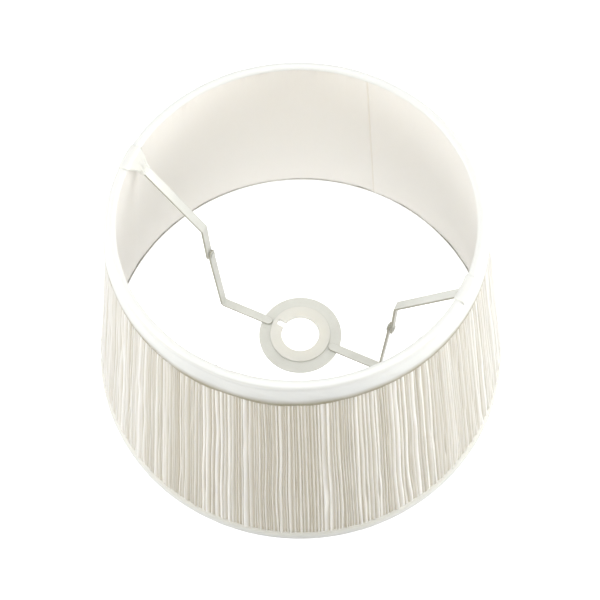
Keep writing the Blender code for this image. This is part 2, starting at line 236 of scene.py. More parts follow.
class Nodes:
    """A small helper that adds and joins shader nodes."""

    def __init__(self, name):
        self.material = bpy.data.materials.new(name)
        self.material.use_nodes = True
        self.tree = self.material.node_tree
        self.shader = self.tree.nodes["Principled BSDF"]

    def add(self, kind, **values):
        node = self.tree.nodes.new(kind)
        for key, value in values.items():
            if hasattr(node, key):
                setattr(node, key, value)
            else:
                node.inputs[key.replace("_", " ")].default_value = value
        return node

    def join(self, source, target):
        self.tree.links.new(source, target)

    def set(self, **values):
        for key, value in values.items():
            self.shader.inputs[key.replace("_", " ")].default_value = value

    def noise(self, vector, scale, detail=3.0, roughness=0.55):
        node = self.add("ShaderNodeTexNoise")
        node.inputs["Scale"].default_value = scale
        node.inputs["Detail"].default_value = detail
        node.inputs["Roughness"].default_value = roughness
        self.join(vector, node.inputs["Vector"])
        return node.outputs["Fac"]

    def scaled(self, vector, scale):
        node = self.add("ShaderNodeMapping")
        node.inputs["Scale"].default_value = scale
        self.join(vector, node.inputs["Vector"])
        return node.outputs["Vector"]

    def ramp(self, factor, stops):
        node = self.add("ShaderNodeValToRGB")
        node.color_ramp.elements[0].position = stops[0][0]
        node.color_ramp.elements[0].color = (*stops[0][1], 1)
        node.color_ramp.elements[1].position = stops[-1][0]
        node.color_ramp.elements[1].color = (*stops[-1][1], 1)
        for place, colour in stops[1:-1]:
            element = node.color_ramp.elements.new(place)
            element.color = (*colour, 1)
        self.join(factor, node.inputs["Fac"])
        return node.outputs["Color"]

    def grey(self, factor, low, high):
        node = self.add("ShaderNodeMapRange")
        node.inputs["To Min"].default_value = low
        node.inputs["To Max"].default_value = high
        self.join(factor, node.inputs["Value"])
        return node.outputs["Result"]

    def math(self, operation, a, b=None):
        node = self.add("ShaderNodeMath", operation=operation)
        for i, value in enumerate((a, b)):
            if value is None:
                continue
            if isinstance(value, (int, float)):
                node.inputs[i].default_value = value
            else:
                self.join(value, node.inputs[i])
        return node.outputs[0]

    def mix(self, factor, a, b, blend="MIX"):
        node = self.add("ShaderNodeMix", data_type="RGBA", blend_type=blend)
        for key, value in ((0, factor), (6, a), (7, b)):
            if isinstance(value, (int, float)):
                node.inputs[key].default_value = value
            elif isinstance(value, tuple):
                node.inputs[key].default_value = (*value, 1)
            else:
                self.join(value, node.inputs[key])
        return node.outputs[2]

    def bump(self, height, distance, strength=1.0, after=None):
        node = self.add("ShaderNodeBump")
        node.inputs["Strength"].default_value = strength
        node.inputs["Distance"].default_value = distance
        self.join(height, node.inputs["Height"])
        if after is not None:
            self.join(after, node.inputs["Normal"])
        return node.outputs["Normal"]


def weave(nodes, uv, pitch):
    """Over-and-under threads from a UV map in metres."""
    waves = []
    for direction in ("X", "Y"):
        wave = nodes.add("ShaderNodeTexWave", bands_direction=direction)
        wave.wave_type, wave.wave_profile = "BANDS", "SIN"
        wave.inputs["Scale"].default_value = 0.2 / pitch
        wave.inputs["Distortion"].default_value = 0.4
        wave.inputs["Detail"].default_value = 1.0
        nodes.join(uv, wave.inputs["Vector"])
        waves.append(wave.outputs["Fac"])
    return nodes.math("MULTIPLY", waves[0], waves[1])


def cloth_material(name, light, dark, roughness, sheen, pitch, slub, painted=None):
    """Woven cloth: threads, slubs that run up the cloth, a slow change of tone, and painted shade read from
    an attribute if given.
    """
    nodes = Nodes(name)
    uv = nodes.add("ShaderNodeUVMap", uv_map="cloth").outputs["UV"]
    place = nodes.add("ShaderNodeTexCoord").outputs["Object"]
    threads = weave(nodes, uv, pitch)
    slubs = nodes.noise(nodes.scaled(uv, slub), 1.0, 4.0, 0.6)
    clouds = nodes.noise(place, 14.0, 3.0, 0.5)
    tone = nodes.math("ADD", nodes.math("MULTIPLY", slubs, 0.6), nodes.math("MULTIPLY", clouds, 0.4))
    colour = nodes.ramp(tone, [(0.3, dark), (0.7, light)])
    # Painted shade: the attribute darkens the colour towards the given shade colour.
    if painted is not None:
        attribute, shade = painted
        reader = nodes.add("ShaderNodeAttribute", attribute_name=attribute)
        colour = nodes.mix(reader.outputs["Fac"], colour, shade, "MULTIPLY")
    nodes.join(colour, nodes.shader.inputs["Base Color"])
    nodes.join(nodes.grey(slubs, roughness - 0.08, roughness + 0.08), nodes.shader.inputs["Roughness"])
    normal = nodes.bump(slubs, 0.00012, 0.6)
    normal = nodes.bump(threads, 0.00005, 0.5, normal)
    nodes.join(normal, nodes.shader.inputs["Normal"])
    nodes.set(Sheen_Weight=sheen, Sheen_Roughness=0.35)
    nodes.set(Subsurface_Weight=0.12, Subsurface_Scale=0.002)
    nodes.shader.inputs["Subsurface Radius"].default_value = (1.0, 0.85, 0.65)
    return nodes.material


def enamel_material(name, colour, edge, side_shade=None):
    """Off-white enamel on steel: faint orange peel, fine dust, warmer patches, and painted shade on the
    narrow sides where asked.
    """
    nodes = Nodes(name)
    place = nodes.add("ShaderNodeTexCoord").outputs["Object"]
    clouds = nodes.noise(place, 60.0, 4.0, 0.6)
    peel = nodes.noise(place, 1400.0, 2.0, 0.5)
    specks = nodes.noise(place, 420.0, 6.0, 0.7)
    colour_out = nodes.ramp(clouds, [(0.35, edge), (0.62, colour)])
    dust = nodes.ramp(specks, [(0.60, (1, 1, 1)), (0.72, (0.93, 0.92, 0.90))])
    colour_out = nodes.mix(1.0, colour_out, dust, "MULTIPLY")
    if side_shade is not None:
        # Painted shade on the narrow sides of the strips.
        reader = nodes.add("ShaderNodeAttribute", attribute_name="side_shade")
        colour_out = nodes.mix(reader.outputs["Fac"], colour_out, side_shade, "MULTIPLY")
    nodes.join(colour_out, nodes.shader.inputs["Base Color"])
    nodes.join(nodes.grey(clouds, 0.28, 0.46), nodes.shader.inputs["Roughness"])
    nodes.join(nodes.bump(peel, 0.00003, 0.5), nodes.shader.inputs["Normal"])
    nodes.set(Coat_Weight=0.25, Coat_Roughness=0.2)
    return nodes.material


def plastic_material(name, colour, edge):
    """Milky moulded plastic with a fine matte grain and faint flow marks."""
    nodes = Nodes(name)
    place = nodes.add("ShaderNodeTexCoord").outputs["Object"]
    flow = nodes.noise(nodes.scaled(place, (40.0, 40.0, 160.0)), 1.0, 3.0, 0.5)
    grain = nodes.noise(place, 2600.0, 2.0, 0.6)
    nodes.join(nodes.ramp(flow, [(0.35, edge), (0.65, colour)]), nodes.shader.inputs["Base Color"])
    nodes.join(nodes.grey(flow, 0.36, 0.50), nodes.shader.inputs["Roughness"])
    nodes.join(nodes.bump(grain, 0.00002, 0.5), nodes.shader.inputs["Normal"])
    nodes.set(Subsurface_Weight=0.35, Subsurface_Scale=0.003)
    nodes.shader.inputs["Subsurface Radius"].default_value = (1.0, 0.95, 0.85)
    return nodes.material


# The pleats' fold colour is painted shade for their valleys.
PLEAT_CLOTH = cloth_material(
    "pleated_silk", (0.955, 0.957, 0.943), (0.92, 0.914, 0.878), 0.40, 0.20, 0.00035, (900.0, 60.0, 1.0),
    painted=("fold", (0.61, 0.57, 0.465)),
)
# The lining's fold colour is painted shade along its seam grooves.
LINING_CLOTH = cloth_material(
    "lining_satin", (0.895, 0.877, 0.834), (0.880, 0.860, 0.812), 0.5, 0.15, 0.0003, (500.0, 90.0, 1.0),
    painted=("fold", (0.90, 0.86, 0.80)),
)
# The bindings' fold colour is painted shade.
TRIM_CLOTH = cloth_material(
    "trim_silk", (0.875, 0.88, 0.845), (0.85, 0.853, 0.808), 0.45, 0.2, 0.00035, (260.0, 700.0, 1.0),
    painted=("fold", (0.48, 0.43, 0.30)),
)
GUSSET_CLOTH = cloth_material(
    "gusset_silk", (0.845, 0.849, 0.806), (0.818, 0.82, 0.768), 0.45, 0.2, 0.00035, (500.0, 300.0, 1.0),
)
ENAMEL = enamel_material("white_enamel", (0.785, 0.80, 0.76), (0.748, 0.76, 0.718))
# The strips' last colour is painted shade for their narrow sides.
STRIP_ENAMEL = enamel_material("strip_enamel", (0.785, 0.80, 0.76), (0.748, 0.76, 0.718), (0.50, 0.48, 0.40))
WIRE_COAT = enamel_material("coated_wire", (0.80, 0.80, 0.78), (0.72, 0.72, 0.70))
REDUCER_PLASTIC = plastic_material("reducer_plastic", (0.87, 0.87, 0.82), (0.83, 0.83, 0.78))


# ---------------------------------------------------------------- pleated cover

PLEATS = 380
PLEAT_STEPS = 10
PLEAT_ROWS = 44
UNDER_BINDING = 2.0 * MM
GATHER_REACH = 1.8 * MM


def pleat_edges(rng):
    """The angle of each pleat's edge at the foot, from uneven widths, a few of them broad and flat."""
    widths = np.exp(0.34 * rng.standard_normal(PLEATS))
    broad = rng.random(PLEATS) < 0.06
    widths[broad] *= 1.4
    widths = np.clip(widths, 0.45, 1.7)
    widths = widths / widths.sum() * TAU
    return np.concatenate([[0], np.cumsum(widths)[:-1]]), widths


def make_cover():
    """Gathered silk: every pleat is its own fold, that leans, swells and wanders on its way up."""
    rng = np.random.default_rng(41)
    edges, widths = pleat_edges(rng)
    mean = TAU / PLEATS
    v = np.linspace(0, 1, PLEAT_ROWS)
    v = v - 0.13 * np.sin(TAU * v)
    low, high = BOTTOM_TRIM_HIGH.z - UNDER_BINDING, TOP_TRIM_LOW.z + UNDER_BINDING
    z = low + (high - low) * v

    slow = smooth_round(rng.standard_normal((PLEATS, 4)), 18) * 3.0
    quick = smooth_round(rng.standard_normal((PLEATS, 6)), 1)
    wander = spread(slow, v) * 0.16 + spread(quick, v) * 0.05
    wander -= wander.mean(axis=0)
    edge = edges[:, None] + wander * mean
    following = np.roll(edge, -1, axis=0)
    following[-1] += TAU
    width = following - edge
    width = np.maximum(width, 0.25 * mean)

    swell = 0.62 + 0.42 * rng.random(PLEATS)[:, None] + 0.16 * spread(rng.standard_normal((PLEATS, 8)), v)
    skew = 0.55 * rng.standard_normal(PLEATS)[:, None] + 0.25 * spread(rng.standard_normal((PLEATS, 5)), v)
    lift = 0.35 * spread(rng.standard_normal((PLEATS, 6)), v)

    # The bindings pinch the pleats at both ends, and the upper one also draws them in beneath it
    near_foot = np.exp(-np.maximum(z - BOTTOM_TRIM_HIGH.z, 0) / GATHER_REACH)
    near_head = np.exp(-np.maximum(TOP_TRIM_LOW.z - z, 0) / GATHER_REACH)
    bound = np.clip((z - TOP_TRIM_LOW.z) / UNDER_BINDING, 0, 1)
    pinch = (1 - 0.58 * np.clip(near_foot + near_head, 0, 1)) * (1 - 0.6 * bound)

    u = (np.arange(PLEAT_STEPS) / PLEAT_STEPS)[None, None, :]
    skew = np.clip(skew, -1.0, 1.0)[:, :, None]
    bent = np.clip(u ** np.exp(0.55 * skew), 0, 1)
    flatness = np.clip(widths / mean, 0.6, 1.8)[:, None, None] ** 1.5 + 0.20
    fold = 1 - np.abs(2 * bent - 1) ** flatness

    base = (wall_radius(z, 1.55 * MM, 1.65 * MM) - 0.6 * MM * bound)[None, :]
    room = wall_radius(z, 3.25 * MM, 4.25 * MM)[None, :] - base
    tall = np.minimum(room * np.clip(swell, 0.35, 1.05), 1.05 * width * base) * pinch
    radius = base[:, :, None] + tall[:, :, None] * fold
    radius = radius + (lift * 0.25 * MM * pinch)[:, :, None]

    crease = rng.standard_normal((PLEATS, 7))
    crease = spread(crease, v)[:, :, None] * np.sin(TAU * 2 * u + 6 * rng.random(PLEATS)[:, None, None])
    radius = radius + crease * 0.10 * MM * (flatness > 2.0)

    gathers = np.sin(TAU * 3 * u + TAU * rng.random(PLEATS)[:, None, None]) * 0.16 * MM
    radius = radius + gathers * np.clip(near_foot + near_head, 0, 1)[None, :, None]

    lean = skew * 0.35 * fold
    angle = edge[:, :, None] + width[:, :, None] * (u + lean * u * (1 - u) * 2.0)

    order = (1, 0, 2)
    radius = radius.transpose(order).reshape(PLEAT_ROWS, -1)
    angle = angle.transpose(order).reshape(PLEAT_ROWS, -1)
    fold = np.broadcast_to(fold, (PLEATS, PLEAT_ROWS, PLEAT_STEPS)).transpose(order).reshape(PLEAT_ROWS, -1)
    points = round_points(radius, angle, z[:, None])
    along = np.linspace(0, TAU * (BOTTOM_R + TOP_R) / 2 * 1.5, radius.shape[1])
    uv = np.stack(np.broadcast_arrays(along[None, :], z[:, None]), axis=-1)
    obj = grid_object("pleated_silk_cover", points, np.array(uv))
    tone = np.repeat(rng.random(PLEATS), PLEAT_STEPS)[None, :]
    caught = np.clip(near_foot + near_head, 0, 1)[:, None]
    # Painted shade: pleat valleys are darkened, more where the bindings gather them, plus a random tone on
    # each pleat.
    paint(obj, "fold", np.clip((1 - fold) ** 0.95 * (0.66 + 0.5 * caught) + 0.28 * tone ** 2, 0, 1))
    finish_piece(obj, "shade", ["pleated_cover"], PLEAT_CLOTH)


make_cover()


# ---------------------------------------------------------------- lining

LINING_TOP_GAP = -1.95 * MM
LINING_FOOT_GAP = -3.6 * MM


def make_lining():
    """Satin stretched inside the struts: seams over them, and puckers where the rims catch it."""
    rng = np.random.default_rng(12)
    cols, rows = 1800, 64
    angle = np.linspace(0, TAU, cols, endpoint=False)
    v = np.linspace(0, 1, rows)
    v = v - 0.10 * np.sin(TAU * v)
    low, high = BOTTOM_Z - 0.5 * MM, TOP_Z + 0.4 * MM
    z = low + (high - low) * v
    radius = wall_radius(z, LINING_TOP_GAP, LINING_FOOT_GAP)[:, None] + 0 * angle[None, :]

    below = np.clip(TOP_TRIM_HIGH.z - 3.2 * MM - z, 0, 1)[:, None]
    above = np.clip(z - 3.0 * MM, 0, 1)[:, None]
    fine = round_noise(rng, 420, angle)[None, :]
    coarse = round_noise(rng, 130, angle)[None, :]
    broad = round_noise(rng, 34, angle, 2)[None, :]
    reach = (5.0 + 5.0 * np.abs(round_noise(rng, 90, angle)))[None, :] * MM
    radius = radius + fine * 0.75 * MM * np.exp(-below / reach)
    radius = radius + coarse * 0.65 * MM * np.exp(-below / (2.6 * reach))
    radius = radius + broad * 0.40 * MM * np.exp(-below / 0.045)
    radius = radius + round_noise(rng, 300, angle)[None, :] * 0.25 * MM * np.exp(-above / (5 * MM))
    radius = radius + round_noise(rng, 90, angle)[None, :] * 0.30 * MM * np.exp(-above / (20 * MM))

    hollow = 0.9 * MM * np.sin(np.pi * np.clip(v, 0, 1))[:, None]
    radius = radius + hollow * np.abs(np.sin(2 * angle))[None, :]
    crease = 0 * angle
    for centre, height, width in ((90, 0.45, 2.2), (270, 0.45, 2.2), (0, 0.30, 2.6), (180, 0.30, 2.6)):
        off = (angle - math.radians(centre) + math.pi) % TAU - math.pi
        off = off[None, :] * radius / MM
        ridge = np.exp(-((off / width) ** 2))
        radius = radius - ridge * height * MM
        if height > 0.4:
            groove = np.exp(-((off / 0.55) ** 2))
            radius = radius + groove * 0.50 * MM
            crease = crease + groove * 0.75
    points = round_points(radius, angle[None, :] + 0 * radius, z[:, None])
    uv = np.stack(np.broadcast_arrays((angle * BOTTOM_R)[None, :], z[:, None]), axis=-1)
    obj = grid_object("satin_lining", points, np.array(uv), flip=True)
    # Painted shade: the seam grooves over the side struts are darkened.
    paint(obj, "fold", np.clip(crease + 0 * radius, 0, 1))
    finish_piece(obj, "shade", ["lining"], LINING_CLOTH)


make_lining()


# ---------------------------------------------------------------- bound rims

def arc(centre, radius_x, radius_z, start, end, steps):
    """Points along part of an ellipse, from start to end in degrees."""
    turn = np.radians(np.linspace(start, end, steps))
    return [(centre[0] + radius_x * math.cos(t), centre[1] + radius_z * math.sin(t)) for t in turn]


SKIN = 0.55 * MM
WALL_LEAN = (BOTTOM_R - TOP_R) / (TOP_Z - BOTTOM_Z)

# Distances outside (or inside) the ring, the legs' depths, how the outer leg swells and tucks, and how
# strongly painted shade darkens the outer leg's lower part and the legs' ends
TOP_SHAPE = {
    "ring_r": TOP_R, "rim": HEIGHT, "outer": 3.1 * MM, "inner": -2.7 * MM, "rise": 2.6 * MM,
    "leg_out": 15.0 * MM, "leg_in": 3.4 * MM, "points": 18, "bulge": 1.5 * MM, "tuck": -0.35 * MM,
    "fold_shade": 0.74, "edge_shade": 0.26,
}
BOTTOM_SHAPE = {
    "ring_r": BOTTOM_R, "rim": 0.0, "outer": 4.2 * MM, "inner": -4.35 * MM, "rise": 2.2 * MM,
    "leg_out": 8.0 * MM, "leg_in": 2.9 * MM, "points": 8, "bulge": 0.35 * MM, "tuck": 1.45 * MM,
    "fold_shade": 0.24, "edge_shade": 0.12,
}


def binding_outline(shape, up):
    """The fold's closed (radius, height) outline, and its outer leg's number of points.

    Then half the fold's width, its middle radius, and the height where its crown begins.
    """
    half = (shape["outer"] - shape["inner"]) / 2
    middle = shape["ring_r"] + (shape["outer"] + shape["inner"]) / 2
    rise = min(half, shape["rise"])
    crest = shape["rim"] - up * rise

    def leg(x, depth, count, bulge, tuck):
        """Points down one leg of the fold: it swells, then draws in or stands off at its end."""
        share = np.linspace(0, 1, count + 1)[1:]
        sag = bulge * np.sin(np.pi * share) - tuck * share ** 8
        return [
            (x + up * depth * s * WALL_LEAN + b, crest - up * (depth - rise) * s)
            for s, b in zip(share, sag)
        ]

    outer_leg = leg(middle + half, shape["leg_out"], shape["points"], shape["bulge"], shape["tuck"])
    inner_leg = leg(middle - half, shape["leg_in"], 3, -0.05 * MM, -0.45 * MM)
    crown = arc((middle, crest), half, up * rise, 0, 180, 15)
    under = arc((middle, crest), half - SKIN, up * (rise - SKIN), 180, 0, 9)
    outline = outer_leg[::-1] + crown + inner_leg
    outline += [(x + SKIN, y) for x, y in inner_leg[::-1]] + under + [(x - SKIN, y) for x, y in outer_leg]
    return np.array(outline), len(outer_leg), half, middle, crest


def drag_lines(rng, angle, walk):
    """Slanting tension lines that come and go round the upper binding."""
    lines = 0.0
    for knots, slope, tall in ((26, 14.0, 0.42), (44, -22.0, 0.26), (70, 30.0, 0.18)):
        line = round_noise(rng, knots, angle[None, :] + walk[:, None] * slope, 0)
        patch = np.clip(round_noise(rng, 15, angle, 1) + 0.35, 0, 1)[None, :]
        lines = lines + (np.abs(line) ** 0.7 * np.sign(line)) * patch * tall
    return lines


def shoulder_seam(rng, angle, walk, shoulder):
    """The groove sewn along the upper binding's shoulder, with the welt of cloth beside it, and the painted
    shade in its groove.
    """
    depth = (0.60 + 0.40 * round_noise(rng, 60, angle, 1))[None, :]
    groove = np.exp(-(((walk - shoulder) / (0.42 * MM)) ** 2))[:, None]
    welt = np.exp(-(((walk - shoulder + 1.2 * MM) / (0.60 * MM)) ** 2))[:, None]
    return (0.35 * welt - groove) * depth, groove * depth


def make_trim(name, up, seed, columns, node):
    """A folded band of silk over a rim, with a rolled crown, turned edges, small drag lines, and painted
    shade under its swell, at its legs' ends and in its shoulder groove.
    """
    rng = np.random.default_rng(seed)
    shape = TOP_SHAPE if up > 0 else BOTTOM_SHAPE
    ring_r, rim, leg_out = shape["ring_r"], shape["rim"], shape["leg_out"]
    outline, outer_points, half, middle, crest = binding_outline(shape, up)

    angle = np.linspace(0, TAU, columns, endpoint=False)
    radius = outline[:, 0][:, None] + 0 * angle[None, :]
    height = outline[:, 1][:, None] + 0 * angle[None, :]
    out = outline - np.array([middle, crest])
    out[:, 1] = up * np.maximum(up * out[:, 1], 0.0)
    out = out / np.maximum(np.linalg.norm(out, axis=1), 1e-6)[:, None]
    walk = np.concatenate([[0], np.cumsum(np.linalg.norm(np.diff(outline, axis=0), axis=1))])

    slant = angle[None, :] + walk[:, None] * 9.0
    ripple = round_noise(rng, 520, slant) * 0.10 + round_noise(rng, 170, slant) * 0.12
    ripple = ripple + round_noise(rng, 300, angle[None, :] + walk[:, None] * 32.0) * 0.12
    if up > 0:
        ripple = ripple + drag_lines(rng, angle, walk)
        seam, seam_shade = shoulder_seam(rng, angle, walk, walk[outer_points - 1] + 0.26 * np.pi * half)
        ripple = ripple + seam
    ripple = ripple + round_noise(rng, 40, angle, 2)[None, :] * 0.16
    on_legs = np.clip(np.abs(outline[:, 1] - rim) / leg_out, 0, 1)[:, None]
    ripple = ripple * MM * (0.35 + 0.9 * on_legs)
    # Cloth can't sink far into the layers beneath it, least of all at the legs' ends
    inward = (1.6 - 1.2 * on_legs) * MM
    ripple = np.where(ripple < 0, -inward * (1 - np.exp(np.minimum(ripple, 0) / inward)), ripple)
    radius = radius + ripple * out[:, 0][:, None]
    height = height + ripple * out[:, 1][:, None] * 0.6

    sway = round_noise(rng, 64, angle, 1) * 0.28 * MM + round_noise(rng, 240, angle) * 0.12 * MM
    height = height + sway[None, :] * on_legs ** 3
    stitch = np.sin(angle * round(TAU * ring_r / (3.2 * MM)))[None, :]
    radius = radius - np.clip(stitch, 0, 1) * 0.10 * MM * on_legs ** 4 * np.sign(out[:, 0])[:, None]
    if up < 0:
        height = np.maximum(height, 0.0)
    else:
        height = np.minimum(height, HEIGHT + 0.3 * MM)
    points = round_points(radius, angle[None, :] + 0 * radius, height)
    uv = np.stack(np.broadcast_arrays((angle * ring_r)[None, :], walk[:, None]), axis=-1)
    obj = grid_object(name, points, np.array(uv), wrap_v=True, flip=up < 0)

    # Painted shade: the outer leg's lower part, both legs' ends and the shoulder groove are darkened.
    drop = np.abs(outline[:, 1] - rim)
    outside = (np.arange(len(outline)) < outer_points)[:, None]
    under = np.clip((drop / leg_out - 0.54) / 0.28, 0, 1)[:, None] * outside
    edge = (drop > leg_out * 0.86)[:, None]
    shade = shape["fold_shade"] * under + edge * shape["edge_shade"] + 0 * radius
    if up > 0:
        shade = shade + 0.35 * seam_shade
    paint(obj, "fold", np.clip(shade, 0, 1))
    finish_piece(obj, "shade", [node], TRIM_CLOTH)
    return obj


top_trim = make_trim("top_binding", 1, 5, 1200, "top_trim")
bottom_trim = make_trim("bottom_binding", -1, 9, 1400, "bottom_trim")


# ---------------------------------------------------------------- gimbal

# The gimbal arm's box takes in its eye, which is 0.2 mm wider than the strip on each side
STRIP_HALF = (GIMBAL_HIGH.y - GIMBAL_LOW.y) / 2 - 0.2 * MM
STRIP_THICK = 1.6 * MM
STRIP_BEND = 2.4 * MM
STRIP_CORNER = 0.35 * MM


def rounded_path(corners, radius, step=4.0):
    """(x, z) points along straight runs and smooth bends, closely spaced."""
    points = [Vector(corners[0])]
    for before, here, after in zip(corners, corners[1:], corners[2:]):
        here = Vector(here)
        first = (here - Vector(before)).normalized()
        second = (Vector(after) - here).normalized()
        turn = first.angle_signed(second)
        reach = radius * math.tan(abs(turn) / 2)
        inward = Vector((-first.y, first.x)) * (1 if turn < 0 else -1)
        centre = here - first * reach + inward * radius
        count = max(4, round(abs(math.degrees(turn)) / step))
        for i in range(count + 1):
            spoke = -inward.copy()
            spoke.rotate(Matrix.Rotation(-turn * i / count, 2))
            points.append(centre + spoke * radius)
    points.append(Vector(corners[-1]))
    fine = []
    for a, b in zip(points, points[1:]):
        parts = max(1, math.ceil((b - a).length / (1.2 * MM)))
        fine += [a.lerp(b, i / parts) for i in range(parts)]
    return np.array([tuple(p) for p in fine + [points[-1]]])


def make_strip(name, corners, bend, angle, body, node, round_ends):
    """A steel strip with softened edges, swept along a bent path, with its tab end rounded."""
    path = rounded_path(corners, bend)
    walk = np.concatenate([[0], np.cumsum(np.linalg.norm(np.diff(path, axis=0), axis=1))])
    total = walk[-1]
    tip = total - STRIP_HALF + STRIP_HALF * np.sin(np.radians(np.linspace(0, 89, 12)))
    keep = walk[(walk > (STRIP_HALF if round_ends[0] else 0)) & (walk < total - STRIP_HALF)]
    start = np.array([0.0])
    if round_ends[0]:
        start = STRIP_HALF - STRIP_HALF * np.sin(np.radians(np.linspace(89, 0, 12)))
    places = np.concatenate([start, keep, tip]) if round_ends[1] else np.concatenate([start, walk[walk > 0]])
    x = np.interp(places, walk, path[:, 0])
    z = np.interp(places, walk, path[:, 1])
    half = np.full(len(places), STRIP_HALF)
    if round_ends[1]:
        over = np.clip((places - (total - STRIP_HALF)) / STRIP_HALF, 0, 1)
        half = half * np.sqrt(np.maximum(1 - over ** 2, 1e-4))
    if round_ends[0]:
        over = np.clip((STRIP_HALF - places) / STRIP_HALF, 0, 1)
        half = half * np.sqrt(np.maximum(1 - over ** 2, 1e-4))
    along = np.stack([np.gradient(x), np.gradient(z)], axis=1)
    along /= np.linalg.norm(along, axis=1)[:, None]
    normal = np.stack([-along[:, 1], along[:, 0]], axis=1)

    soft = STRIP_CORNER
    thick = STRIP_THICK / 2
    section = []
    side_shade = []
    for sx, sz, base in ((1, 1, 0), (-1, 1, 90), (-1, -1, 180), (1, -1, 270)):
        for a in (0, 30, 60, 90):
            t = math.radians(base + a)
            section.append((sx, math.cos(t) * soft, sz * (thick - soft) + math.sin(t) * soft))
            # Painted shade: the strip's narrow sides are darkened.
            side_shade.append(abs(math.cos(t)) ** 2)
    rows = []
    for i in range(len(places)):
        ring = []
        shrink = min(1.0, half[i] / STRIP_HALF + 0.25)
        for sx, cy, cz in section:
            y = sx * max(half[i] - soft, 0) + cy * min(1.0, half[i] / soft)
            cz = cz * (1.0 if half[i] > soft else shrink)
            ring.append((x[i] + normal[i, 0] * cz, y, z[i] + normal[i, 1] * cz))
        rows.append(ring)
    bm = bmesh.new()
    verts = [[bm.verts.new(p) for p in ring] for ring in rows]
    n = len(section)
    for a, b in zip(verts, verts[1:]):
        for i in range(n):
            bm.faces.new((a[i], a[(i + 1) % n], b[(i + 1) % n], b[i]))
    bm.faces.new(verts[0][::-1])
    bm.faces.new(verts[-1])
    bmesh.ops.recalc_face_normals(bm, faces=bm.faces)
    mesh = bpy.data.meshes.new(name)
    bm.to_mesh(mesh)
    bm.free()
    mesh.transform(Matrix.Rotation(math.radians(angle), 4, "Z"))
    mesh.shade_smooth()
    mesh.set_sharp_from_angle(angle=math.radians(50))
    strip = link(name, mesh)
    paint(strip, "side_shade", np.tile(side_shade, len(places)))
    finish_piece(strip, body, [node], STRIP_ENAMEL)


ROOT_X = OUTER_HIGH.x - STRIP_THICK / 2
DROP_X = OUTER_LOW.x + STRIP_THICK / 2 + 0.1 * MM
ELBOW_Z = 0.1167
ROOT_Z = 0.1673
GIMBAL_X = GIMBAL_HIGH.x - STRIP_THICK / 2 - 0.1 * MM
FOOT_X = 0.0650
FOOT_Z = GIMBAL_LOW.z + STRIP_THICK / 2
INNER_END = GIMBAL_LOW.x

for side, turn in (("right", 0), ("left", 180)):
    make_strip(
        f"outer_strip_{side}",
        [(ROOT_X, OUTER_HIGH.z), (ROOT_X, ROOT_Z), (DROP_X, ELBOW_Z), (DROP_X, OUTER_LOW.z)],
        STRIP_BEND, turn, "shade", f"outer_arm_{side}", (False, True),
    )
    make_strip(
        f"gimbal_strip_{side}",
        [(INNER_END, FOOT_Z), (FOOT_X, FOOT_Z), (GIMBAL_X, PIVOT_Z - 6.0 * MM), (GIMBAL_X, GIMBAL_HIGH.z)],
        STRIP_BEND, turn, "gimbal", f"gimbal_arm_{side}", (True, True),
    )


def lathe(name, outline, segments, sharp=40):
    """A closed (radius, height) outline turned about Z."""
    outline = np.array(outline)
    angle = np.linspace(0, TAU, segments, endpoint=False)
    radius = outline[:, 0][:, None] + 0 * angle[None, :]
    points = round_points(radius, angle[None, :], outline[:, 1][:, None])
    down = np.arange(len(outline))[:, None] * 0.001
    uv = np.stack(np.broadcast_arrays((angle * 0.02)[None, :], down), axis=-1)
    obj = grid_object(name, points, np.array(uv), wrap_v=True)
    face_outward(obj)
    obj.data.set_sharp_from_angle(angle=math.radians(sharp))
    return obj


def softened(outline, size):
    """Rounds every corner of a (radius, height) outline."""
    count = len(outline)
    result = []
    for i, here in enumerate(outline):
        here = Vector(here)
        before = Vector(outline[i - 1]) - here
        after = Vector(outline[(i + 1) % count]) - here
        reach = min(size, before.length * 0.45, after.length * 0.45)
        a, b = here + before.normalized() * reach, here + after.normalized() * reach
        for t in (0, 0.25, 0.5, 0.75, 1):
            result.append(tuple(a * (1 - t) ** 2 + here * 2 * t * (1 - t) + b * t ** 2))
    return result


def make_rivet(side, turn):
    """A closed rivet: a shank with a domed head at each end."""
    reach = (RIVET_HIGH.z - RIVET_LOW.z) / 2
    inner, outer = RIVET_LOW.x, RIVET_HIGH.x
    head = 0.5 * MM
    shank = 1.5 * MM
    turns = np.radians(np.linspace(0, 88, 8))
    dome = [(reach * math.cos(t), head * (0.25 + 0.75 * math.sin(t))) for t in turns]
    outline = [(0.02 * MM, inner)]
    outline += [(r, inner + head - h) for r, h in dome[::-1]]
    outline += [(reach, inner + head), (shank, inner + head), (shank, outer - head), (reach, outer - head)]
    outline += [(r, outer - head + h) for r, h in dome]
    outline += [(0.02 * MM, outer)]
    obj = lathe(f"rivet_{side}_closed", outline, 40)
    obj.data.transform(Matrix.Rotation(math.pi / 2, 4, "Y"))
    obj.data.transform(Matrix.Translation((0, 0, PIVOT_Z)))
    obj.data.transform(Matrix.Rotation(math.radians(turn), 4, "Z"))
    finish_piece(obj, "shade", [f"rivet_{side}"], ENAMEL)


make_rivet("right", 0)
make_rivet("left", 180)


def make_fitter():
    """The stamped ring, with rolled-over edges."""
    hole = 21.0 * MM
    low, high = FITTER_LOW.z, FITTER_HIGH.z
    outline = [(hole, low), (FITTER_HIGH.x, low), (FITTER_HIGH.x, high), (hole, high)]
    obj = lathe("fitter_washer", softened(outline, 0.5 * MM), 160)
    finish_piece(obj, "gimbal", ["fitter_ring"], ENAMEL)


make_fitter()


SLOT_SIZE = (12.0 * MM, 4.6 * MM, 12 * MM)
SLOT_MIDDLE = 14.3 * MM
SLOT_ANGLE = 173


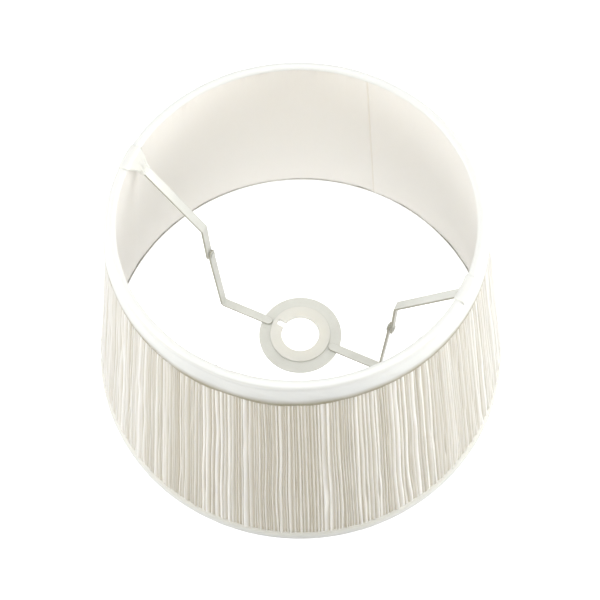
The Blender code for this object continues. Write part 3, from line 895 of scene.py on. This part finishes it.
def make_reducer():
    """The moulded bush: flange, spigot, and the slot that lets it spring."""
    hole = 14.25 * MM
    low, high = REDUCER_LOW.z, REDUCER_HIGH.z
    ledge = high - 1.4 * MM
    spigot = 20.7 * MM
    flange = REDUCER_HIGH.x
    outline = [(hole, low), (spigot, low), (spigot, ledge), (flange, ledge), (flange, high), (hole, high)]
    obj = lathe("reducer_bush", softened(outline, 0.45 * MM), 160)
    bm = bmesh.new()
    bmesh.ops.create_cube(bm, size=1.0)
    bmesh.ops.scale(bm, verts=bm.verts, vec=SLOT_SIZE)
    bmesh.ops.translate(bm, verts=bm.verts, vec=(SLOT_MIDDLE, 0, (low + high) / 2))
    upright = [e for e in bm.edges if abs(e.verts[0].co.z - e.verts[1].co.z) > 5 * MM]
    outer = [e for e in upright if e.verts[0].co.x > 15 * MM]
    bmesh.ops.bevel(bm, geom=outer, offset=0.8 * MM, segments=5, affect="EDGES")
    mesh = bpy.data.meshes.new("slot_cutter")
    bm.to_mesh(mesh)
    bm.free()
    mesh.transform(Matrix.Rotation(math.radians(SLOT_ANGLE), 4, "Z"))
    cutter = link("slot_cutter", mesh)
    modifier = obj.modifiers.new("slot", "BOOLEAN")
    modifier.object = cutter
    modifier.operation = "DIFFERENCE"
    modifier.solver = "EXACT"
    bpy.context.view_layer.update()
    cut = bpy.data.meshes.new_from_object(obj.evaluated_get(bpy.context.evaluated_depsgraph_get()))
    obj.modifiers.clear()
    obj.data = cut
    bpy.data.objects.remove(cutter)
    obj.data.shade_smooth()
    obj.data.set_sharp_from_angle(angle=math.radians(40))
    finish_piece(obj, "reducer", ["reducer_ring"], REDUCER_PLASTIC)


make_reducer()


# ---------------------------------------------------------------- gussets

def make_gusset(side, turn, seed):
    """A patch of silk over the rim, drawn in to the arm's bend and folded round the strip."""
    rng = np.random.default_rng(seed)
    rows, cols = 90, 57
    # Down the patch: distance, radius on the arm's line, height, reach to the front and to the back
    stations = np.array([
        (0.0, 112.6, 184.8, 16.6, 1.2),
        (2.0, 112.5, 186.6, 16.6, 1.2),
        (3.4, 111.3, 187.45, 16.6, 1.2),
        (6.0, 108.8, 187.6, 16.5, 1.3),
        (8.0, 107.0, 187.2, 16.3, 1.5),
        (9.6, 106.0, 185.8, 15.6, 1.7),
        (12.5, 105.75, 182.8, 13.6, 2.1),
        (18.0, 105.55, 177.4, 9.6, 2.9),
        (23.5, 105.45, 171.9, 6.2, 3.7),
        (27.0, 105.3, 168.4, 4.6, 4.1),
        (28.8, 104.9, 166.7, 4.2, 4.2),
        (30.6, 103.9, 165.2, 4.1, 4.1),
    ])
    walk = np.linspace(0, stations[-1, 0], rows)
    x_mid, z_mid, front, back = [np.interp(walk, stations[:, 0], stations[:, i]) * MM for i in range(1, 5)]
    for _ in range(3):
        for line in (x_mid, z_mid, front, back):
            line[1:-1] = (line[:-2] + 2 * line[1:-1] + line[2:]) / 4
    share = np.linspace(0, 1, cols)[None, :]
    y = -front[:, None] + (front + back)[:, None] * share
    down = np.clip((walk - 9.0) / 18.0, 0, 1)[:, None]

    x = x_mid[:, None] - y ** 2 / (2 * ROOT_X) * (1 - 0.8 * down)
    wrap = np.clip((np.abs(y) - 3.15 * MM) / (0.9 * MM), 0, 1) ** 1.5
    x = x + wrap * 2.4 * MM * np.clip((walk - 24.0) / 4.0, 0, 1)[:, None]
    edge = np.clip(1 - np.minimum(share, 1 - share) * (front + back)[:, None] / (0.9 * MM), 0, 1) ** 2
    lip = np.clip(1 - down, 0.35, 1) * 0.35 * MM

    phase = rng.random(4) * TAU
    pull = np.sin((share - 0.45) * 13 + phase[0]) * 0.20 + np.sin((share + 0.2 * down) * 27 + phase[1]) * 0.11
    rumple = np.sin(walk[:, None] * 0.55 + 5 * share + phase[2]) * 0.07
    rumple = rumple + np.sin(walk[:, None] * 1.3 - 9 * share + phase[3]) * 0.05
    proud = (pull * (0.35 + down) + rumple) * MM * (1 - edge)
    crown = np.clip((9.0 - walk) / 3.0, 0, 1)[:, None]
    x = x - proud * (1 - crown) + edge * lip * (1 - crown)
    z = z_mid[:, None] + 0 * y + proud * crown * 0.6 - edge * 0.30 * MM * crown
    points = np.stack([x, y, z], axis=-1)
    if side == "left":
        points[:, :, 1] *= -1
    uv = np.stack(np.broadcast_arrays(y, walk[:, None] * MM), axis=-1)
    obj = grid_object(f"gusset_{side}_patch", points, np.array(uv), wrap_u=False)
    obj.data.transform(Matrix.Rotation(math.radians(turn), 4, "Z"))
    face_outward(obj)
    thick = obj.modifiers.new("cloth", "SOLIDIFY")
    thick.thickness = 0.40 * MM
    thick.offset = 0
    finish_piece(obj, "shade", [f"arm_gusset_{side}"], GUSSET_CLOTH)


make_gusset("right", 0, 3)
make_gusset("left", 180, 4)


def coat_wires():
    """The hidden wires stay CAD: they only take a coated look."""
    for node in ("top_ring", "bottom_ring", "strut_right", "strut_back", "strut_left", "strut_front"):
        for slot in frame["nodes"][node].material_slots:
            slot.link = "OBJECT"
            slot.material = WIRE_COAT


coat_wires()


# ---------------------------------------------------------------- studio

# To the camera the floor and the world are plain white. These are what they give off as light
FLOOR_GLOW = 0.66
WORLD_LIGHT = 0.36
STUDIO_TURN = 26.4


def make_floor():
    """A plain pale floor: white to the camera, and giving light only inside the shade's foot."""
    mesh = bpy.data.meshes.new("studio_floor")
    bm = bmesh.new()
    bmesh.ops.create_grid(bm, x_segments=1, y_segments=1, size=6.0)
    bmesh.ops.translate(bm, verts=bm.verts, vec=(0, 0, -0.2 * MM))
    bm.to_mesh(mesh)
    bm.free()
    floor = link("studio_floor", mesh)
    nodes = Nodes("studio_floor")
    place = nodes.add("ShaderNodeTexCoord").outputs["Object"]
    mottle = nodes.noise(place, 3.0, 2.0, 0.5)
    pale = nodes.ramp(mottle, [(0.3, (0.42, 0.42, 0.42)), (0.7, (0.44, 0.44, 0.44))])
    nodes.join(pale, nodes.shader.inputs["Base Color"])
    nodes.set(Roughness=0.9, Emission_Color=(1, 1, 1, 1))
    seen = nodes.add("ShaderNodeLightPath").outputs["Is Camera Ray"]
    away = nodes.add("ShaderNodeVectorMath", operation="LENGTH")
    nodes.join(place, away.inputs[0])
    under = nodes.math("LESS_THAN", away.outputs["Value"], BOTTOM_R - 4 * MM)
    glow = nodes.math("MULTIPLY", under, FLOOR_GLOW)
    nodes.join(nodes.math("MAXIMUM", seen, glow), nodes.shader.inputs["Emission Strength"])
    mesh.materials.append(nodes.material)


def area_light(name, place, target, size, power, colour=(1, 1, 1)):
    """A soft rectangular lamp that faces its target."""
    data = bpy.data.lights.new(name, "AREA")
    data.shape = "RECTANGLE"
    data.size, data.size_y = size
    data.energy = power
    data.color = colour
    lamp = bpy.data.objects.new(name, data)
    lamp.location = place
    lamp.rotation_euler = (Vector(target) - Vector(place)).to_track_quat("-Z", "Y").to_euler()
    bpy.context.scene.collection.objects.link(lamp)
    return lamp


def make_world():
    """An even white surround, brighter to the camera than as a light."""
    world = bpy.data.worlds.new("studio")
    world.use_nodes = True
    tree = world.node_tree
    background = tree.nodes["Background"]
    background.inputs["Color"].default_value = (1, 1, 1, 1)
    seen = tree.nodes.new("ShaderNodeLightPath")
    pale = tree.nodes.new("ShaderNodeMath")
    pale.operation = "MAXIMUM"
    pale.inputs[1].default_value = WORLD_LIGHT
    tree.links.new(seen.outputs["Is Camera Ray"], pale.inputs[0])
    tree.links.new(pale.outputs[0], background.inputs["Strength"])
    bpy.context.scene.world = world


def make_lights():
    """Two low side lights, two from the front and one behind. The low front one misses the bindings."""
    centre = (0, 0, 0.09)
    turn = Matrix.Rotation(math.radians(STUDIO_TURN), 3, "Z")
    area_light("key_left", turn @ Vector((-1.45, 0.0, 0.48)), centre, (1.0, 0.9), 15.0)
    area_light("key_right", turn @ Vector((1.45, 0.0, 0.48)), centre, (1.0, 0.9), 18.0)
    area_light("front_high", turn @ Vector((0.0, -0.70, 1.41)), centre, (1.0, 0.8), 10.0)
    low_place = turn @ Vector((0.0, -1.36, 0.62))
    low = area_light("front_low", low_place, centre, (1.2, 0.7), 3.2, (1.0, 0.86, 0.64))
    area_light("back_top", turn @ Vector((0.0, 0.45, 1.40)), centre, (1.2, 0.9), 3.6)
    shaded = bpy.data.collections.new("shaded_from_front_low")
    for obj in (top_trim, bottom_trim):
        shaded.objects.link(obj)
    for member in shaded.collection_objects:
        member.light_linking.link_state = "EXCLUDE"
    low.light_linking.receiver_collection = shaded


def set_view():
    """Plain, unstyled colour."""
    view = bpy.context.scene.view_settings
    view.view_transform = "Standard"
    view.look = "None"
    view.exposure = 0.0
    view.gamma = 1.0


make_floor()
make_world()
make_lights()
set_view()
